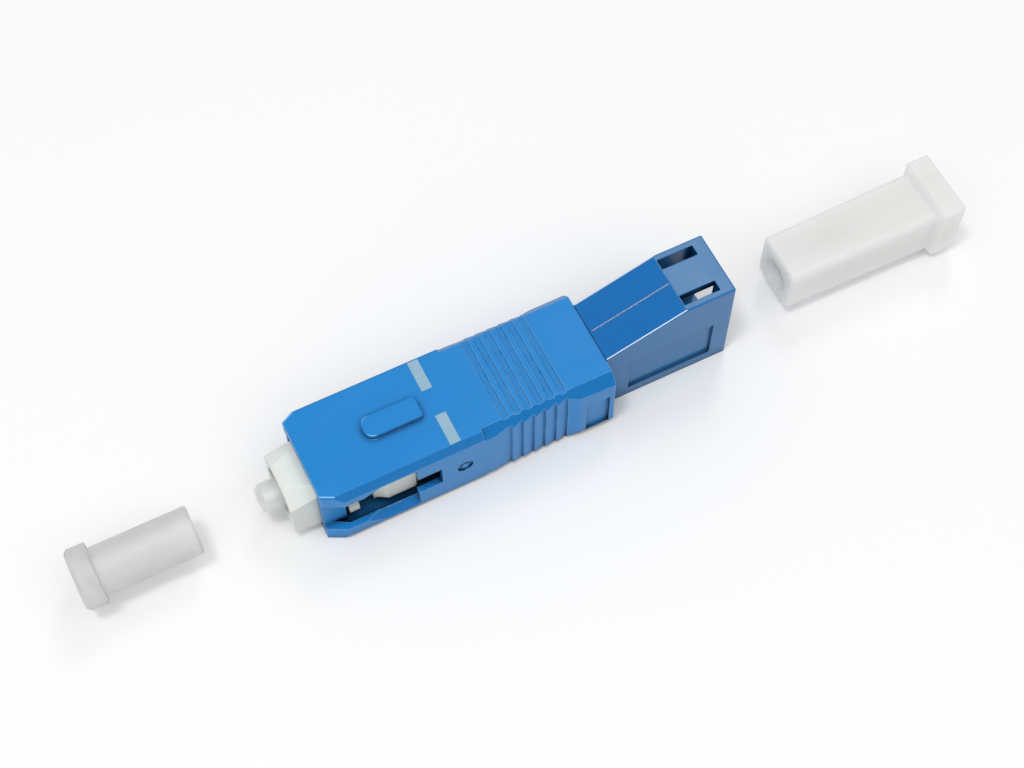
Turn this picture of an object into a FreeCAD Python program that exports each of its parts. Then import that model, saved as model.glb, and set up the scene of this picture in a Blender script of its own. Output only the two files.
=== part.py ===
import FreeCAD
import Part
import os

# Hybrid fibre optic adapter: a push-pull plug with a 2.5 mm ferrule, and a small form port behind it.
# Millimetres. The origin is the centre of the ferrule's tip, +X runs along the light path, and +Z is up.

# Stations along the light path
FRAME_FRONT = 1.83
FRAME_LENGTH = 15.67
SLEEVE_FRONT = 4.05
SLEEVE_LENGTH = 25.16
GRIP_LENGTH = 11.55
SHOULDER_GAP = 0.03
PORT_LENGTH = 11.51
ROOF_LENGTH = 4.46
PORT_DEPTH = 13.4
FRAME_REAR = FRAME_FRONT + FRAME_LENGTH
SLEEVE_REAR = SLEEVE_FRONT + SLEEVE_LENGTH
GRIP_START = SLEEVE_REAR - GRIP_LENGTH
PORT_SHOULDER = SLEEVE_REAR + SHOULDER_GAP
PORT_MOUTH = PORT_SHOULDER + PORT_LENGTH
SLOPE_TOP = PORT_MOUTH - ROOF_LENGTH
PORT_FLOOR = PORT_MOUTH - PORT_DEPTH

# Outer housing
SLEEVE_HALF_WIDTH = 4.5
SLEEVE_HALF_HEIGHT = 3.7
TOP_BEVEL_Y = 0.38
TOP_BEVEL_Z = 0.74
LOW_BEVEL_Y = 0.2
LOW_BEVEL_Z = 0.35
NOSE_CUT_X = 1.6
NOSE_CUT_Y = 0.82
EDGE_ROUND = 0.22
FLOOR = -SLEEVE_HALF_HEIGHT

# Polarity key on the top face
KEY_SETBACK = 5.25
KEY_START = SLEEVE_FRONT + KEY_SETBACK
KEY_LENGTH = 4.87
KEY_HALF_WIDTH = 1.0
KEY_HEIGHT = 0.5
KEY_ROOT = 0.4
KEY_FRONT_ROUND = 0.85
KEY_REAR_ROUND = 0.25
KEY_RIM_ROUND = 0.14

# Entry channel, latch window, slot and gate mark in each side wall
PILLAR_LENGTH = 1.97
WINDOW_START = SLEEVE_FRONT + PILLAR_LENGTH
WINDOW_LENGTH = 5.85
WINDOW_END = WINDOW_START + WINDOW_LENGTH
RAIL_HEIGHT = 1.55
WINDOW_HALF_HEIGHT = SLEEVE_HALF_HEIGHT - RAIL_HEIGHT
LEDGE_LENGTH = 0.87
LEDGE_END = SLEEVE_FRONT + LEDGE_LENGTH
ENTRY_DEPTH = 1.22
ENTRY_Y = SLEEVE_HALF_WIDTH - ENTRY_DEPTH
RELIEF_SETBACK = 1.33
RELIEF_START = WINDOW_START + RELIEF_SETBACK
RELIEF_RAMP = 1.4
RELIEF_FULL = RELIEF_START + RELIEF_RAMP
RELIEF_DEPTH = 0.6
RELIEF_LEAD = 0.02
RELIEF_REACH = 0.5
RELIEF_INSET = 0.3
RELIEF_SLOPE = {-1: 1.6, 1: 1.0}
SLOT_LENGTH = 2.07
SLOT_END = WINDOW_END + SLOT_LENGTH
SLOT_STEP = 0.95
SLOT_HALF_HEIGHT = WINDOW_HALF_HEIGHT - SLOT_STEP
DIMPLE_SETBACK = 1.73
DIMPLE_X = GRIP_START - DIMPLE_SETBACK
DIMPLE_Z = -0.1
DIMPLE_RADIUS = 0.69
DIMPLE_DEPTH = 0.2
GATE_RADIUS = 0.3
GATE_HEIGHT = 0.12

# Grip
GRIP_SIDE_STEP = 0.1
GRIP_HALF_WIDTH = SLEEVE_HALF_WIDTH + GRIP_SIDE_STEP
GRIP_TOP_INSET = 0.82
GRIP_TOP_HALF = GRIP_HALF_WIDTH - GRIP_TOP_INSET
GRIP_TOP_DROP = 1.05
GRIP_LOW_INSET = 0.65
GRIP_LOW_HALF = GRIP_HALF_WIDTH - GRIP_LOW_INSET
GRIP_LOW_RISE = 0.62
WAIST_LENGTH = 0.89
WAIST_START = GRIP_START + WAIST_LENGTH
RIB_SETBACK = 2.39
FIRST_RIB = GRIP_START + RIB_SETBACK
RIB_PITCH = 1.0
RIB_COUNT = 6
RIB_LEAD = 0.08
RIB_LAND = 0.22
RIB_INSET = 0.04
RIB_PEAK = SLEEVE_HALF_WIDTH - RIB_INSET
RIB_DEPTH = 0.18
RIB_VALLEY = RIB_PEAK - RIB_DEPTH
RIB_TAPER = 0.03
RIB_GROOVE = 0.48
RIB_GROOVE_DEPTH = 0.12
FLARE_LENGTH = 1.03
FLARE_INSET = 0.05
POCKET_SETBACK = 0.42
POCKET_END = SLEEVE_REAR - POCKET_SETBACK
POCKET_LENGTH = 2.09
POCKET_START = POCKET_END - POCKET_LENGTH
POCKET_RISE = 0.6
POCKET_LOW = FLOOR + POCKET_RISE
POCKET_HIGH = 0.95
POCKET_DEPTH = 0.28

# Room inside the outer housing
SIDE_WALL = 0.55
FRONT_ROOM_Y = SLEEVE_HALF_WIDTH - SIDE_WALL
ROOF_WALL = 0.85
FRONT_ROOM_Z = SLEEVE_HALF_HEIGHT - ROOF_WALL
SLIDE_GAP = 0.08
SLIDE_TRAVEL = 1.6
LUG_HALF_WIDTH = 1.4
LUG_LENGTH = 1.6
LUG_SETBACK = 4.5
LUG_REAR = FRAME_REAR + LUG_SETBACK
LUG_DEPTH = 0.36
LUG_ROOT = 0.2
LUG_REAR_GAP = 0.03
LUG_FRONT_GAP = 0.05
LUG_SIDE_GAP = 0.1

# Plug frame
NOSE_GAP_Y = 1.23
NOSE_HALF_Y = FRONT_ROOM_Y - NOSE_GAP_Y
NOSE_GAP_Z = 0.25
NOSE_HALF_Z = FRONT_ROOM_Z - NOSE_GAP_Z
PILLAR_GAP = 0.13
PILLAR_Y = NOSE_HALF_Y + PILLAR_GAP
NOSE_TAPER_X = 0.35
NOSE_TAPER = 0.05
NOSE_BROW = 0.22
FACET_LENGTH = 3.37
NOSE_FACET_END = FRAME_FRONT + FACET_LENGTH
FACET_FRONT_Y = 1.72
FACET_REAR_Y = 0.4
FACET_SLOPE = 0.72
FACET_REACH = 0.4
FRONT_BORE_WALL = 0.5
FRONT_BORE = NOSE_HALF_Z - FRONT_BORE_WALL
WEB_REAR = 8.6
WEB_THICK = 0.6
WEB_FRONT = WEB_REAR - WEB_THICK
WEB_BORE = 1.5
CHAMBER_WALL = 0.4
CHAMBER_BORE = NOSE_HALF_Z - CHAMBER_WALL
WING_GAP = 0.6
WING_HALF_Y = FRONT_ROOM_Y - WING_GAP
HOOK_GAP_BITE = 0.13
HOOK_GAP_Y = FRONT_BORE - HOOK_GAP_BITE
WING_ROOT = 0.12
WING_ROOT_Y = HOOK_GAP_Y - WING_ROOT
PAD_SETBACK = 0.3
PAD_START = WINDOW_START + PAD_SETBACK
PAD_LENGTH = 0.85
PAD_END = PAD_START + PAD_LENGTH
PAD_HEIGHT = 1.05
PAD_INNER_Z = WINDOW_HALF_HEIGHT - PAD_HEIGHT
PAD_RISE = 0.35
PAD_OUTER_Z = WINDOW_HALF_HEIGHT - PAD_RISE
LATCH_SETBACK = 2.58
LATCH_START = WINDOW_START + LATCH_SETBACK
LATCH_RAMP = 1.05
LATCH_FULL = LATCH_START + LATCH_RAMP
LATCH_LENGTH = 3.5
LATCH_END = LATCH_START + LATCH_LENGTH
LATCH_LAP = 0.05
LATCH_HALF_Z = WINDOW_HALF_HEIGHT + LATCH_LAP

# Ferrules and what carries them
FERRULE_RADIUS = 1.25
FERRULE_SEAT = 1.9
FERRULE_END = WEB_REAR + FERRULE_SEAT
TIP_CHAMFER_X = 0.5
TIP_FLAT_RADIUS = 0.92
TIP_DOME = 0.07
FIBRE_RADIUS = 0.0625
FIBRE_BORE = 0.07
FLANGE_GAP = 0.1
FLANGE_RADIUS = CHAMBER_BORE - FLANGE_GAP
FLANGE_LENGTH = 1.2
NOTCH_WIDTH = 0.6
NOTCH_DEPTH = 0.35
SHANK_RADIUS = 1.1
SEAT_SETBACK = 4.85
SEAT_START = PORT_FLOOR - SEAT_SETBACK
SHANK_GAP = 1.1
SHANK_END = SEAT_START - SHANK_GAP
SMALL_FERRULE_RADIUS = 0.625
SMALL_FERRULE_SEAT = 1.4
SMALL_FERRULE_START = SHANK_END - SMALL_FERRULE_SEAT
SMALL_TIP_RADIUS = 0.45
SMALL_TIP_CHAMFER = 0.3
OPTICAL_SETBACK = 0.65
OPTICAL_PLANE = PORT_FLOOR + OPTICAL_SETBACK
HOLDER_BORE = 0.3

# Spring
SPRING_INSET = 0.58
SPRING_RADIUS = CHAMBER_BORE - SPRING_INSET
SPRING_WIRE = 0.2
SPRING_TURNS = 6
SPRING_LENGTH = 4.7
SPRING_FRONT = WEB_REAR + FLANGE_LENGTH
SPIGOT_FRONT = SPRING_FRONT + SPRING_LENGTH

# Port housing
PORT_HALF_WIDTH = 2.88
PORT_WALL = 0.43
SHOULDER_RISE = 0.113
SHOULDER_TOP = SLEEVE_HALF_HEIGHT + SHOULDER_RISE
ROOF_RISE = 2.367
PORT_TOP = SHOULDER_TOP + ROOF_RISE
NECK_INSET = 0.1
NECK_HALF_Z = FRONT_ROOM_Z - NECK_INSET
PORT_ROUND = 0.14
BORE_HALF = PORT_HALF_WIDTH - PORT_WALL
SHANK_BORE = 1.3
CHANNEL_LENGTH = 4.29
CHANNEL_START = SLOPE_TOP - CHANNEL_LENGTH
CHANNEL_COVER = 0.063
CHANNEL_LOW_ROOF = SHOULDER_TOP - CHANNEL_COVER
ROOF_THICK = 0.78
CHANNEL_ROOF = PORT_TOP - ROOF_THICK
CHANNEL_WALL = 0.56
CHANNEL_HALF = PORT_HALF_WIDTH - CHANNEL_WALL
CATCH_LENGTH = 1.15
CATCH_FRONT = PORT_MOUTH - CATCH_LENGTH
LATCH_WINDOW_SETBACK = 0.07
LATCH_WINDOW_START = SLOPE_TOP + LATCH_WINDOW_SETBACK
LATCH_WINDOW_WIDTH = 0.95
LATCH_WINDOW_INNER = CHANNEL_HALF - LATCH_WINDOW_WIDTH
SPINE_GAP = 0.07
SPINE_HALF = LATCH_WINDOW_INNER - SPINE_GAP
SIDE_POCKET_SETBACK = 2.25
SIDE_POCKET_START = PORT_SHOULDER + SIDE_POCKET_SETBACK
SIDE_POCKET_RIM = 1.62
SIDE_POCKET_END = PORT_MOUTH - SIDE_POCKET_RIM
SIDE_POCKET_RISE = 1.05
SIDE_POCKET_LOW = FLOOR + SIDE_POCKET_RISE
SIDE_POCKET_HIGH = 1.75
SIDE_POCKET_DEPTH = 0.24
RIDGE_HALF_WIDTH = 0.06
RIDGE_HEIGHT = 0.05
RIDGE_INSET = 0.1
RIDGE_ROOT = 0.2
MOUTH_CHAMFER = 0.15

# Alignment sleeve and its holder
SLEEVE_BORE = 0.64
SLEEVE_RADIUS = 0.81
SLEEVE_LEN = 6.8
SLEEVE_SLOT = 0.26
HOLDER_RADIUS = 1.45
HOLDER_ROOM = 0.86
HOLDER_LIP = 0.72
HOLDER_REACH = 4.55
HOLDER_TIP = PORT_FLOOR + HOLDER_REACH
HOLDER_LIP_LENGTH = 0.4
HOLDER_TIP_CHAMFER_X = 0.3
HOLDER_TIP_CHAMFER = 0.25
HOLDER_FLANGE = 2.0
HOLDER_FLANGE_LENGTH = 0.8
SEAT_OVERLAP = 0.2

# Ferrule cap, taken off and lying in line in front
CAP_RIM = -5.3
CAP_TUBE_LENGTH = 8.08
CAP_TUBE_RADIUS = 2.0
CAP_FLANGE_RADIUS = 2.53
CAP_FLANGE_LENGTH = 1.74
CAP_BORE = 1.32
CAP_BORE_DEPTH = 8.6
CAP_BORE_TIP = 0.3
CAP_BORE_CONE = 0.5
CAP_ROUND = 0.25
CAP_FLANGE_EDGE = 0.1
CAP_RIM_EDGE = 0.12
CAP_LEAD = 0.1
CAP_LEAD_LENGTH = 0.2

# Port plug, taken out and lying in line behind
PLUG_STAND_OFF = 6.01
PLUG_TIP = PORT_MOUTH + PLUG_STAND_OFF
PLUG_SHAFT_LENGTH = 13.84
PLUG_GAP = 0.09
PLUG_TIP_HALF = BORE_HALF - PLUG_GAP
PLUG_DRAFT = 0.17
PLUG_ROOT_HALF = PLUG_TIP_HALF + PLUG_DRAFT
PLUG_ROUND = 0.5
PLUG_TIP_CHAMFER = 0.25
PLUG_BORE = 1.45
PLUG_BORE_DEPTH = 7.0
PLUG_LIP = 0.52
PLUG_HEAD_HALF = PLUG_ROOT_HALF + PLUG_LIP
PLUG_HEAD_LENGTH = 2.37
PLUG_HEAD_BEVEL = 0.5
PLUG_HEAD_ROUND = 0.3

PAST = 1.0


def box(x0, x1, y0, y1, z0, z1):
    return Part.makeBox(x1 - x0, y1 - y0, z1 - z0, FreeCAD.Vector(x0, y0, z0))


def prism(points, direction):
    wire = Part.makePolygon(points + [points[0]])
    return Part.Face(wire).extrude(direction)


def along_x(outline, x0, x1):
    points = [FreeCAD.Vector(x0, y, z) for y, z in outline]
    return prism(points, FreeCAD.Vector(x1 - x0, 0, 0))


def along_y(outline, y0, y1):
    points = [FreeCAD.Vector(x, y0, z) for x, z in outline]
    return prism(points, FreeCAD.Vector(0, y1 - y0, 0))


def along_z(outline, z0, z1):
    points = [FreeCAD.Vector(x, y, z0) for x, y in outline]
    return prism(points, FreeCAD.Vector(0, 0, z1 - z0))


def rod(x0, x1, radius):
    return Part.makeCylinder(radius, x1 - x0, FreeCAD.Vector(x0, 0, 0), FreeCAD.Vector(1, 0, 0))


def turned(profile):
    points = [FreeCAD.Vector(x, 0, r) for x, r in profile]
    wire = Part.makePolygon(points + [points[0]])
    return Part.Face(wire).revolve(FreeCAD.Vector(0, 0, 0), FreeCAD.Vector(1, 0, 0), 360)


def tapered(stations):
    rings = []
    for x, outline in stations:
        rings.append([FreeCAD.Vector(x, y, z) for y, z in outline])
    rims = [rings[0], rings[-1]]
    count = len(rings[0])
    for first, second in zip(rings, rings[1:]):
        for k in range(count):
            n = (k + 1) % count
            rims.append([first[k], first[n], second[n], second[k]])
    faces = [Part.Face(Part.makePolygon(rim + [rim[0]])) for rim in rims]
    closed = Part.makeSolid(Part.makeShell(faces))
    shell = Part.makeShell(closed.Faces)
    shell.sewShape()
    return Part.makeSolid(shell)


def mirrored(outline):
    return outline + [(a, -b) for a, b in reversed(outline)]


def square(half):
    return [(-half, -half), (half, -half), (half, half), (-half, half)]


def edges_where(shape, test):
    chosen = []
    for edge in shape.Edges:
        low = edge.BoundBox
        if test(low):
            chosen.append(edge)
    return chosen


def flat(low, high, value):
    return abs(low - value) < 1e-4 and abs(high - value) < 1e-4


# Front half of the outer housing, with its long bevels and its cut nose corners
def front_half():
    y = SLEEVE_HALF_WIDTH
    z = SLEEVE_HALF_HEIGHT
    section = [
        (y - LOW_BEVEL_Y, -z),
        (y, -z + LOW_BEVEL_Z),
        (y, z - TOP_BEVEL_Z),
        (y - TOP_BEVEL_Y, z),
        (-y + TOP_BEVEL_Y, z),
        (-y, z - TOP_BEVEL_Z),
        (-y, -z + LOW_BEVEL_Z),
        (-y + LOW_BEVEL_Y, -z),
    ]
    block = along_x(section, SLEEVE_FRONT, GRIP_START)
    plan = mirrored([
        (SLEEVE_FRONT, y - NOSE_CUT_Y),
        (SLEEVE_FRONT + NOSE_CUT_X, y),
        (GRIP_START, y),
    ])
    block = block.common(along_z(plan, -z - PAST, z + PAST)).removeSplitter()
    sides = edges_where(block, lambda b: flat(b.ZMin, b.ZMax, z - TOP_BEVEL_Z) and b.XLength > PAST)
    block = block.makeFillet(EDGE_ROUND, sides)
    top = edges_where(block, lambda b: flat(b.ZMin, b.ZMax, z) and b.XLength > EDGE_ROUND)
    return block.makeFillet(EDGE_ROUND, top)


# Ribbed grip: saw-tooth plan, shallow ribs on top and below, bevelled section
def grip_half():
    top = SLEEVE_HALF_HEIGHT
    low = FLOOR
    flare_end = FIRST_RIB + (RIB_COUNT - 1) * RIB_PITCH + FLARE_LENGTH
    plan = [(GRIP_START, SLEEVE_HALF_WIDTH), (WAIST_START, SLEEVE_HALF_WIDTH)]
    roof = [(GRIP_START, top)]
    base = [(GRIP_START, low)]
    for k in range(RIB_COUNT):
        x = FIRST_RIB + k * RIB_PITCH
        inset = k * RIB_TAPER
        plan.append((x, RIB_VALLEY - inset))
        plan.append((x + RIB_LEAD, RIB_PEAK - inset))
        plan.append((x + RIB_LAND, RIB_PEAK - inset))
        groove = [(x - RIB_GROOVE, 0), (x - RIB_GROOVE + RIB_LEAD, RIB_GROOVE_DEPTH)]
        groove += [(x, RIB_GROOVE_DEPTH), (x + RIB_LEAD, 0)]
        for along, depth in groove:
            roof.append((along, top - depth))
            base.append((along, low + depth))
    plan.append((flare_end, GRIP_HALF_WIDTH - FLARE_INSET))
    plan.append((SLEEVE_REAR, GRIP_HALF_WIDTH))
    roof.append((SLEEVE_REAR, top))
    base.append((SLEEVE_REAR, low))
    section = [
        (GRIP_LOW_HALF, low),
        (GRIP_HALF_WIDTH, low + GRIP_LOW_RISE),
        (GRIP_HALF_WIDTH, top - GRIP_TOP_DROP),
        (GRIP_TOP_HALF, top),
        (-GRIP_TOP_HALF, top),
        (-GRIP_HALF_WIDTH, top - GRIP_TOP_DROP),
        (-GRIP_HALF_WIDTH, low + GRIP_LOW_RISE),
        (-GRIP_LOW_HALF, low),
    ]
    block = along_x(section, GRIP_START, SLEEVE_REAR)
    block = block.common(along_z(mirrored(plan), low - PAST, top + PAST))
    return block.common(along_y(roof + base[::-1], -GRIP_HALF_WIDTH - PAST, GRIP_HALF_WIDTH + PAST))


# Raised polarity key on the top face
def polarity_key():
    z = SLEEVE_HALF_HEIGHT
    rear_end = KEY_START + KEY_LENGTH
    key = box(KEY_START, rear_end, -KEY_HALF_WIDTH, KEY_HALF_WIDTH, z - KEY_ROOT, z + KEY_HEIGHT)
    front = edges_where(key, lambda b: b.ZLength > KEY_HEIGHT and flat(b.XMin, b.XMax, KEY_START))
    key = key.makeFillet(KEY_FRONT_ROUND, front)
    rear = edges_where(key, lambda b: b.ZLength > KEY_HEIGHT and flat(b.XMin, b.XMax, rear_end))
    key = key.makeFillet(KEY_REAR_ROUND, rear)
    rim = edges_where(key, lambda b: flat(b.ZMin, b.ZMax, z + KEY_HEIGHT))
    return key.makeFillet(KEY_RIM_ROUND, rim)


# Entry channel, latch window with its sloping relief, slot, gate mark and rear pocket on one side
def side_cuts(side):
    y_in = side * (FRONT_ROOM_Y - PAST)
    y_out = side * (GRIP_HALF_WIDTH + PAST)
    y0 = min(y_in, y_out)
    y1 = max(y_in, y_out)
    e0 = min(side * ENTRY_Y, y_out)
    e1 = max(side * ENTRY_Y, y_out)
    cuts = [
        box(SLEEVE_FRONT - PAST, WINDOW_START + PAST, e0, e1, -WINDOW_HALF_HEIGHT, WINDOW_HALF_HEIGHT),
        box(WINDOW_START, WINDOW_END, y0, y1, -WINDOW_HALF_HEIGHT, WINDOW_HALF_HEIGHT),
        box(WINDOW_END - PAST, SLOT_END, y0, y1, -SLOT_HALF_HEIGHT, SLOT_HALF_HEIGHT),
    ]
    for level in (-1, 1):
        z_edge = level * WINDOW_HALF_HEIGHT
        z_in = level * (WINDOW_HALF_HEIGHT - RELIEF_INSET)
        y_face = side * SLEEVE_HALF_WIDTH
        stations = []
        depths = [(RELIEF_START, RELIEF_LEAD), (RELIEF_FULL, RELIEF_DEPTH), (WINDOW_END, RELIEF_DEPTH)]
        for x, depth in depths:
            z_out = z_edge + level * (depth + RELIEF_REACH) * RELIEF_SLOPE[level]
            outline = [
                (y_face - side * depth, z_in),
                (y_face - side * depth, z_edge),
                (y_face + side * RELIEF_REACH, z_out),
                (y_face + side * RELIEF_REACH, z_in),
            ]
            stations.append((x, outline))
        cuts.append(tapered(stations))
    lead_in = [
        (LEDGE_END, side * ENTRY_Y),
        (WINDOW_START, side * FRONT_ROOM_Y),
        (WINDOW_START + PAST, side * FRONT_ROOM_Y),
        (WINDOW_START + PAST, side * ENTRY_Y),
    ]
    cuts.append(along_z(lead_in, -FRONT_ROOM_Z, FRONT_ROOM_Z))
    dimple_y = side * (SLEEVE_HALF_WIDTH - DIMPLE_DEPTH)
    dimple_at = FreeCAD.Vector(DIMPLE_X, dimple_y, DIMPLE_Z)
    outward = FreeCAD.Vector(0, side, 0)
    gate = Part.makeCylinder(GATE_RADIUS, GATE_HEIGHT, dimple_at, outward)
    cuts.append(Part.makeCylinder(DIMPLE_RADIUS, PAST, dimple_at, outward).cut(gate))
    pocket_y = side * (GRIP_HALF_WIDTH - POCKET_DEPTH)
    p0 = min(pocket_y, y_out)
    p1 = max(pocket_y, y_out)
    cuts.append(box(POCKET_START, POCKET_END, p0, p1, POCKET_LOW, POCKET_HIGH))
    return cuts


def outer_housing():
    body = front_half().fuse(grip_half()).fuse(polarity_key())
    room_y = PORT_HALF_WIDTH + SLIDE_GAP
    room_z = NECK_HALF_Z + SLIDE_GAP
    cuts = [
        box(SLEEVE_FRONT - PAST, WINDOW_START + PAST, -PILLAR_Y, PILLAR_Y, -FRONT_ROOM_Z, FRONT_ROOM_Z),
        box(WINDOW_START, FRAME_REAR, -FRONT_ROOM_Y, FRONT_ROOM_Y, -FRONT_ROOM_Z, FRONT_ROOM_Z),
        box(FRAME_REAR - PAST, SLEEVE_REAR + PAST, -room_y, room_y, -room_z, room_z),
    ]
    for side in (-1, 1):
        cuts.extend(side_cuts(side))
    for cut in cuts:
        body = body.cut(cut)
    for level in (-1, 1):
        z0 = level * (room_z - LUG_DEPTH)
        z1 = level * (room_z + LUG_ROOT)
        y = LUG_HALF_WIDTH
        lug = box(LUG_REAR - LUG_LENGTH, LUG_REAR, -y, y, min(z0, z1), max(z0, z1))
        body = body.fuse(lug)
    return body.removeSplitter()


def plug_frame():
    y = NOSE_HALF_Y
    z = NOSE_HALF_Z
    taper = [
        (FRAME_FRONT, [(-y + NOSE_TAPER, -z + NOSE_TAPER), (y - NOSE_TAPER, -z + NOSE_TAPER),
                       (y - NOSE_TAPER, z - NOSE_BROW), (-y + NOSE_TAPER, z - NOSE_BROW)]),
        (FRAME_FRONT + NOSE_TAPER_X, [(-y, -z), (y, -z), (y, z), (-y, z)]),
    ]
    body = tapered(taper)
    body = body.fuse(box(FRAME_FRONT + NOSE_TAPER_X, LATCH_END, -y, y, -z, z))
    body = body.fuse(box(LATCH_END, FRAME_REAR, -PORT_HALF_WIDTH, PORT_HALF_WIDTH, -z, z))
    for side in (-1, 1):
        latch = [(LATCH_START, 0), (LATCH_START, side * y), (LATCH_FULL, side * WING_HALF_Y),
                 (LATCH_END, side * WING_HALF_Y), (LATCH_END, 0)]
        body = body.fuse(along_z(latch, -LATCH_HALF_Z, LATCH_HALF_Z))
        g0 = min(side * HOOK_GAP_Y, side * WING_HALF_Y)
        g1 = max(side * HOOK_GAP_Y, side * WING_HALF_Y)
        body = body.cut(box(WINDOW_START, LATCH_START, g0, g1, -z - PAST, z + PAST))
        for level in (-1, 1):
            z0 = min(level * PAD_INNER_Z, level * PAD_OUTER_Z)
            z1 = max(level * PAD_INNER_Z, level * PAD_OUTER_Z)
            y0 = min(side * WING_ROOT_Y, side * WING_HALF_Y)
            y1 = max(side * WING_ROOT_Y, side * WING_HALF_Y)
            body = body.fuse(box(PAD_START, PAD_END, y0, y1, z0, z1))
        stations = []
        for x, facet in ((FRAME_FRONT, FACET_FRONT_Y), (NOSE_FACET_END, FACET_REAR_Y)):
            crest = z + FACET_REACH * FACET_SLOPE
            stations.append((x, [
                (side * (y - facet - FACET_REACH), crest),
                (side * (y + FACET_REACH), z - (facet + FACET_REACH) * FACET_SLOPE),
                (side * (y + FACET_REACH), crest),
            ]))
        body = body.cut(tapered(stations))
    body = body.cut(rod(FRAME_FRONT - PAST, WEB_FRONT, FRONT_BORE))
    body = body.cut(rod(WEB_FRONT - PAST, WEB_REAR + PAST, WEB_BORE))
    body = body.cut(rod(WEB_REAR, FRAME_REAR + PAST, CHAMBER_BORE))
    return body.removeSplitter()


def ferrule():
    return turned([
        (0, FIBRE_BORE), (0.3 * TIP_DOME, 0.55 * TIP_FLAT_RADIUS), (TIP_DOME, TIP_FLAT_RADIUS),
        (TIP_CHAMFER_X, FERRULE_RADIUS), (FERRULE_END, FERRULE_RADIUS), (FERRULE_END, FIBRE_BORE),
    ])


def ferrule_holder():
    rear = SPRING_FRONT
    body = turned([
        (WEB_REAR, FERRULE_RADIUS), (WEB_REAR, FLANGE_RADIUS),
        (rear, FLANGE_RADIUS), (rear, SHANK_RADIUS),
        (SHANK_END, SHANK_RADIUS), (SHANK_END, SMALL_FERRULE_RADIUS),
        (SMALL_FERRULE_START, SMALL_FERRULE_RADIUS), (SMALL_FERRULE_START, HOLDER_BORE),
        (FERRULE_END, HOLDER_BORE), (FERRULE_END, FERRULE_RADIUS),
    ])
    for turn in (0, 90, 180, 270):
        y = NOTCH_WIDTH / 2
        z = FLANGE_RADIUS - NOTCH_DEPTH
        notch = box(WEB_REAR - PAST, rear + PAST, -y, y, z, FLANGE_RADIUS + PAST)
        notch.rotate(FreeCAD.Vector(0, 0, 0), FreeCAD.Vector(1, 0, 0), turn)
        body = body.cut(notch)
    return body


def inner_ferrule():
    return turned([
        (SMALL_FERRULE_START, FIBRE_BORE), (SMALL_FERRULE_START, SMALL_FERRULE_RADIUS),
        (OPTICAL_PLANE - SMALL_TIP_CHAMFER, SMALL_FERRULE_RADIUS), (OPTICAL_PLANE, SMALL_TIP_RADIUS),
        (OPTICAL_PLANE, FIBRE_BORE),
    ])


def ferrule_spring():
    start = SPRING_FRONT + SPRING_WIRE
    height = SPIGOT_FRONT - SPRING_WIRE - start
    helix = Part.makeHelix(height / SPRING_TURNS, height, SPRING_RADIUS)
    ring = Part.Circle(FreeCAD.Vector(SPRING_RADIUS, 0, 0), FreeCAD.Vector(0, 1, 0), SPRING_WIRE)
    coil = Part.Wire(helix).makePipeShell([Part.Wire(ring.toShape())], True, True)
    coil.rotate(FreeCAD.Vector(0, 0, 0), FreeCAD.Vector(0, 1, 0), 90)
    coil.translate(FreeCAD.Vector(start, 0, 0))
    return coil


# Block with the sloping roof, rounded along its outer edges
def port_block():
    outline = [
        (PORT_SHOULDER, FLOOR), (PORT_MOUTH, FLOOR), (PORT_MOUTH, PORT_TOP),
        (SLOPE_TOP, PORT_TOP), (PORT_SHOULDER, SHOULDER_TOP),
    ]
    block = along_y(outline, -PORT_HALF_WIDTH, PORT_HALF_WIDTH)
    chosen = []
    for edge in block.Edges:
        reach = edge.BoundBox
        lengthwise = reach.YLength < PORT_ROUND
        roof = lengthwise and reach.ZMin > FLOOR + PAST and reach.XLength > PORT_ROUND
        at_mouth = flat(reach.XMin, reach.XMax, PORT_MOUTH)
        brow = at_mouth and flat(reach.ZMin, reach.ZMax, PORT_TOP)
        if roof or brow or (at_mouth and lengthwise):
            chosen.append(edge)
    return block.makeFillet(PORT_ROUND, chosen)


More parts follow.
